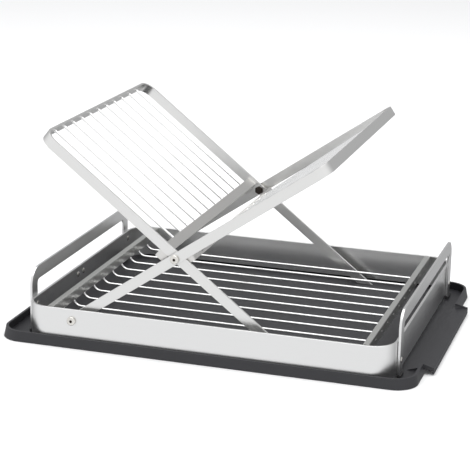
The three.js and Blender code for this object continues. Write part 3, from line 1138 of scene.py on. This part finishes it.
@dataclass
class RightFrame(Wing):
    """Frame B, leaning right, hinged to the ring at its lower ends."""

    letter: str = "b"
    body: Body = Body.FRAME_B
    lean: float = LEAN_B
    heading: int = 1
    outer_y: float = 173.5
    reach: float = 213.0
    rod_from: float = 16.8
    rod_drop: float = 8.0
    foot_reach: float = 149.8
    foot_flat: float = 0.05
    bar_round: float = 0.3

    def build(self) -> None:
        """Makes the hoop, its crossbar and its rods."""
        half = self.width / 2
        start = -self.foot_reach - half
        hoop = self.hoop(start)
        ends = [
            edge for edge in hoop.bm.edges
            if max(vert.co.x for vert in edge.verts) < start + TOUCH
            and abs(edge.verts[0].co.y - edge.verts[1].co.y) > TOUCH
        ]
        hoop.round_off(ends, half - self.foot_flat, 8).ease(self.edge_round).move(self.place)
        hoop.finish("frame_hoop_b", self.steel, self.body, "frame_steel", ("frame_b",))
        from_node("crossbar_b").ease(self.bar_round, 2, sharp=0.8).finish(
            "crossbar_strip_b", self.finishes["crossbar_steel"], self.body,
            "frame_steel", ("crossbar_b",),
        )
        self.rods()


@dataclass
class Fasteners:
    """Screws, nuts, spacers and rivets that hold the rack together."""

    finishes: Finishes
    centre_x: float = CENTRE_X
    pivot: tuple[float, float] = CROSSING
    foot_pivot: tuple[float, float] = (-161.8, 31.6)
    screw_radius: float = 2.5
    head_radius: float = 5.3
    head_height: float = 2.6
    recess_radius: float = 1.9
    recess_depth: float = 1.7
    pivot_seat: float = 173.8
    pivot_tip: float = 157.8
    foot_seat: float = 182.8
    foot_tip: float = 169.5
    pivot_spacer: tuple[float, float] = (166.8, 170.2)
    foot_spacer: tuple[float, float] = (173.8, 179.2)
    spacer_radius: float = 5.0
    spacer_round: float = 0.35
    bore_clearance: float = 0.1
    nut_face: float = 160.8
    nut_radius: float = 5.6
    nut_height: float = 2.7
    nut_round: float = 0.45
    collar_radius: float = 4.2
    collar_sink: float = 0.3
    collar_height: float = 0.8
    collar_lip: float = 0.4
    collar_taper: float = 0.85
    handle_face: float = 223.3
    handle_rivet_y: float = 149.0
    rivet_high: float = 35.5
    rivet_low: float = 21.5
    ring_face: float = 220.0
    seam_rivet_y: tuple[float, float] = (-25.0, -8.0)
    rivet_radius: float = 2.0
    rivet_head: float = 3.6
    rivet_dome: float = 1.0
    wall_inner: float = 217.0

    def build(self) -> None:
        """Makes every fastener."""
        steel = self.finishes["fastener_steel"]
        for side, depth in SIDES:
            self.screw(
                side, self.pivot, self.pivot_seat, self.pivot_tip,
                Body.FRAME_B, f"pivot_screw_{depth}", "crossing_bolt",
            )
            self.screw(
                side, self.foot_pivot, self.foot_seat, self.foot_tip,
                Body.RACK, f"foot_screw_{depth}", "hinge_bolt",
            )
            self.nut(side).finish(
                f"lock_nut_{depth}", self.finishes["blackened_nut"], Body.FRAME_B, "fastener_steel"
            )
            for spot, faces, body, label in (
                (self.pivot, self.pivot_spacer, Body.FRAME_B, "pivot_spacer"),
                (self.foot_pivot, self.foot_spacer, Body.RACK, "foot_spacer"),
            ):
                node = f"{label}_{depth}"
                self.washer(side, spot, *faces).finish(
                    f"turned_{node}", steel, body, "fastener_steel", (node,)
                )
        for end, side in ENDS:
            for across, depth in SIDES:
                y, z = across * self.handle_rivet_y, self.rivet_high if end < 0 else self.rivet_low
                self.rivet(f"handle_rivet_{side}_{depth}", end, y, z, self.handle_face)
        for y, (_, depth) in zip(self.seam_rivet_y, SIDES):
            self.rivet(f"seam_rivet_{depth}", -1, y, self.rivet_high, self.ring_face)

    def screw(
        self, side: int, spot: tuple[float, float], seat: float, tip: float,
        body: Body, node: str, name: str,
    ) -> None:
        """One pan-head screw with a hexagon recess.

        Args:
            side: -1 for the front and 1 for the back.
            spot: (X, Z) of its axis.
            seat: How far out across the rack its head sits.
            tip: How far out across the rack its inner end is.
            body: Body that it rides on.
            node: CAD node that it stands for.
            name: First part of the new piece's name.
        """
        high, rim, mouth = self.head_height, self.head_radius, self.recess_radius + 0.6
        shank = seat - tip
        profile = (
            (0, -shank), (self.screw_radius - 0.4, -shank), (self.screw_radius, 0.5 - shank),
            (self.screw_radius, 0), (rim - 0.3, 0), (rim, 0.35), (rim, 0.55 * high),
            (0.93 * rim, 0.8 * high), (0.78 * rim, 0.94 * high), (mouth, high),
        )
        stock = Stock().turned(profile, 36)
        mouth_edges = [edge for edge in stock.bm.edges if edge.is_boundary]
        hexagon = bmesh.ops.create_circle(
            stock.bm, cap_ends=False, segments=6, radius=self.recess_radius
        )["verts"]
        bmesh.ops.translate(stock.bm, vec=(0, 0, high - 0.25), verts=hexagon)
        ring = list({edge for vert in hexagon for edge in vert.link_edges})
        bmesh.ops.bridge_loops(stock.bm, edges=mouth_edges + ring)
        stock.front = ring
        before = set(stock.bm.faces)
        stock.straight((0, 0, -self.recess_depth)).close_end()
        for face in set(stock.bm.faces) - before:
            face.material_index = 1
        stock.move(facing((1, 0, 0), (0, 0, -side), (spot[0], side * seat, spot[1])))
        depth = "front" if side < 0 else "back"
        stock.finish(
            f"{name}_{depth}", self.finishes["fastener_steel"], body,
            "fastener_steel", (node,), self.finishes["recess_shadow"],
        )

    def nut(self, side: int) -> Stock:
        """Hexagon lock nut on the inside of the crossing pivot.

        Args:
            side: -1 for the front and 1 for the back.

        Returns:
            The nut's stock.
        """
        stock = Stock().round_bar(self.nut_radius, 6, Matrix.Identity(4))
        stock.straight((0, 0, self.nut_height)).close_end().ease(self.nut_round, 2)
        collar = bmesh.ops.create_circle(
            stock.bm, cap_ends=True, segments=24, radius=self.collar_radius
        )["verts"]
        bmesh.ops.translate(stock.bm, vec=(0, 0, self.nut_height - self.collar_sink), verts=collar)
        stock.front = list({edge for vert in collar for edge in vert.link_edges})
        stock.straight((0, 0, self.collar_height))
        stock.straight((0, 0, self.collar_lip), self.collar_taper).close_end()
        seat = (self.pivot[0], side * self.nut_face, self.pivot[1])
        return stock.move(facing((1, 0, 0), (0, 0, side), seat))

    def washer(self, side: int, spot: tuple[float, float], near: float, far: float) -> Stock:
        """Turned spacer round a pivot.

        Args:
            side: -1 for the front and 1 for the back.
            spot: (X, Z) of its axis.
            near: Inner face, out across the rack.
            far: Outer face, out across the rack.

        Returns:
            The spacer's stock.
        """
        bore, rim = self.screw_radius + self.bore_clearance, self.spacer_radius
        ease, long = self.spacer_round, far - near
        profile = (
            (bore, 0), (rim - ease, 0), (rim, ease), (rim, long - ease), (rim - ease, long),
            (bore, long), (bore, 0),
        )
        return Stock().turned(profile, 32).move(
            facing((1, 0, 0), (0, 0, -side), (spot[0], side * near, spot[1]))
        )

    def rivet(self, node: str, end: int, y: float, z: float, outer: float) -> None:
        """One domed rivet through the ring's end wall.

        Args:
            node: CAD node that it stands for.
            end: -1 for the left wall and 1 for the right one.
            y: Place across the rack.
            z: Height.
            outer: Outermost face it clamps, from the ring's middle.
        """
        pin, head, dome = self.rivet_radius, self.rivet_head, self.rivet_dome
        inner = self.wall_inner - outer
        profile = (
            (0, inner - dome), (0.55 * head, inner - 0.86 * dome), (0.85 * head, inner - 0.5 * dome),
            (head, inner), (pin, inner), (pin, 0), (head, 0), (head, 0.12),
            (0.85 * head, 0.55 * dome), (0.55 * head, 0.9 * dome), (0, dome),
        )
        stock = Stock().turned(profile, 28)
        stock.move(facing((0, 1, 0), (0, 0, end), (self.centre_x + end * outer, y, z)))
        stock.finish(
            f"domed_{node}", self.finishes["fastener_steel"], Body.RACK, "fastener_steel", (node,)
        )


@dataclass
class Studio:
    """Pale floor, soft box and the camera."""

    floor_half: float = 9.0
    floor_drop: float = 0.0004
    eye: tuple[float, float, float] = (0.5395, -1.8245, 0.6542)
    azimuth: float = math.radians(17.09)
    elevation: float = math.radians(16.17)
    roll: float = math.radians(1.13)
    lens: float = 124.0
    sensor: float = 36.0
    clip: tuple[float, float] = (0.01, 60.0)
    back_light: float = 0.50
    back_from: float = 0.75
    front_light: float = 1.03
    front_from: float = -0.35
    sky: tuple[float, float, float, float] = (0.985, 0.99, 1.0, 1.0)
    lamp_place: tuple[float, float, float] = (0.0, 0.1, 2.4)
    lamp_size: float = 3.0
    lamp_power: float = 50.0

    def build(self) -> None:
        """Sets up the floor, the light and the camera."""
        self.floor()
        self.world()
        self.soft_box("overhead_box", self.lamp_place, self.lamp_size, self.lamp_power)
        self.camera()
        bpy.context.scene.view_settings.view_transform = "Standard"

    def floor(self) -> None:
        """Lays the paper floor."""
        sheet = bmesh.new()
        bmesh.ops.create_grid(sheet, x_segments=1, y_segments=1, size=self.floor_half)
        bmesh.ops.translate(sheet, vec=(0, 0, -self.floor_drop), verts=sheet.verts)
        mesh = bpy.data.meshes.new("paper_floor")
        sheet.to_mesh(mesh)
        sheet.free()
        mesh.materials.append(StudioPaper().material())
        floor = bpy.data.objects.new("paper_floor", mesh)
        bpy.context.scene.collection.objects.link(floor)
        floor.visible_glossy = False

    def world(self) -> None:
        """Fills the surroundings with pale light, stronger in front than behind."""
        world = bpy.data.worlds.new("studio")
        world.use_nodes = True
        g = Graph.of_tree(world.node_tree)
        way = g.node("ShaderNodeTexCoord", output="Generated")
        depth = g.node("ShaderNodeSeparateXYZ", values={0: way}, output=1)
        strength = g.node(
            "ShaderNodeMapRange", {"interpolation_type": "SMOOTHSTEP"},
            {
                "Value": depth, "From Min": self.back_from, "From Max": self.front_from,
                "To Min": self.back_light, "To Max": self.front_light,
            },
        )
        background = world.node_tree.nodes["Background"]
        g.tree.links.new(strength.socket, background.inputs["Strength"])
        background.inputs["Color"].default_value = self.sky
        bpy.context.scene.world = world

    def soft_box(self, name: str, place: Sequence[float], size: float, power: float) -> None:
        """Hangs one square soft box that points at the origin.

        Args:
            name: Name of the lamp.
            place: Where it hangs, in metres.
            size: Side of its face.
            power: Power in watts.
        """
        lamp = bpy.data.lights.new(name, "AREA")
        lamp.size, lamp.energy = size, power
        held = bpy.data.objects.new(name, lamp)
        held.location = place
        held.rotation_euler = (-Vector(place)).to_track_quat("-Z", "Y").to_euler()
        bpy.context.scene.collection.objects.link(held)

    def camera(self) -> None:
        """Aims the camera."""
        cos, sin = math.cos, math.sin
        forward = Vector((
            -sin(self.azimuth) * cos(self.elevation),
            cos(self.azimuth) * cos(self.elevation),
            -sin(self.elevation),
        ))
        level = Vector((cos(self.azimuth), sin(self.azimuth), 0))
        upright = level.cross(forward)
        right = level * cos(self.roll) + upright * sin(self.roll)
        up = upright * cos(self.roll) - level * sin(self.roll)
        lens = bpy.data.cameras.new("camera")
        lens.lens, lens.sensor_width = self.lens, self.sensor
        lens.clip_start, lens.clip_end = self.clip
        camera = bpy.data.objects.new("camera", lens)
        turn = Matrix((right, up, -forward)).transposed().to_4x4()
        camera.matrix_world = Matrix.Translation(self.eye) @ turn
        bpy.context.scene.collection.objects.link(camera)
        bpy.context.scene.camera = camera


def main() -> None:
    """Builds every sub-assembly in order."""
    logging.basicConfig(level=logging.INFO, format="%(name)s: %(message)s")
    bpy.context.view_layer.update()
    finishes = Finishes()
    DripTray(finishes).build()
    Ring(finishes).build()
    Handles(finishes).build()
    WireGrid(finishes).build()
    LeftFrame(finishes).build()
    RightFrame(finishes).build()
    Fasteners(finishes).build()
    Studio().build()


if __name__ == "__main__":
    main()
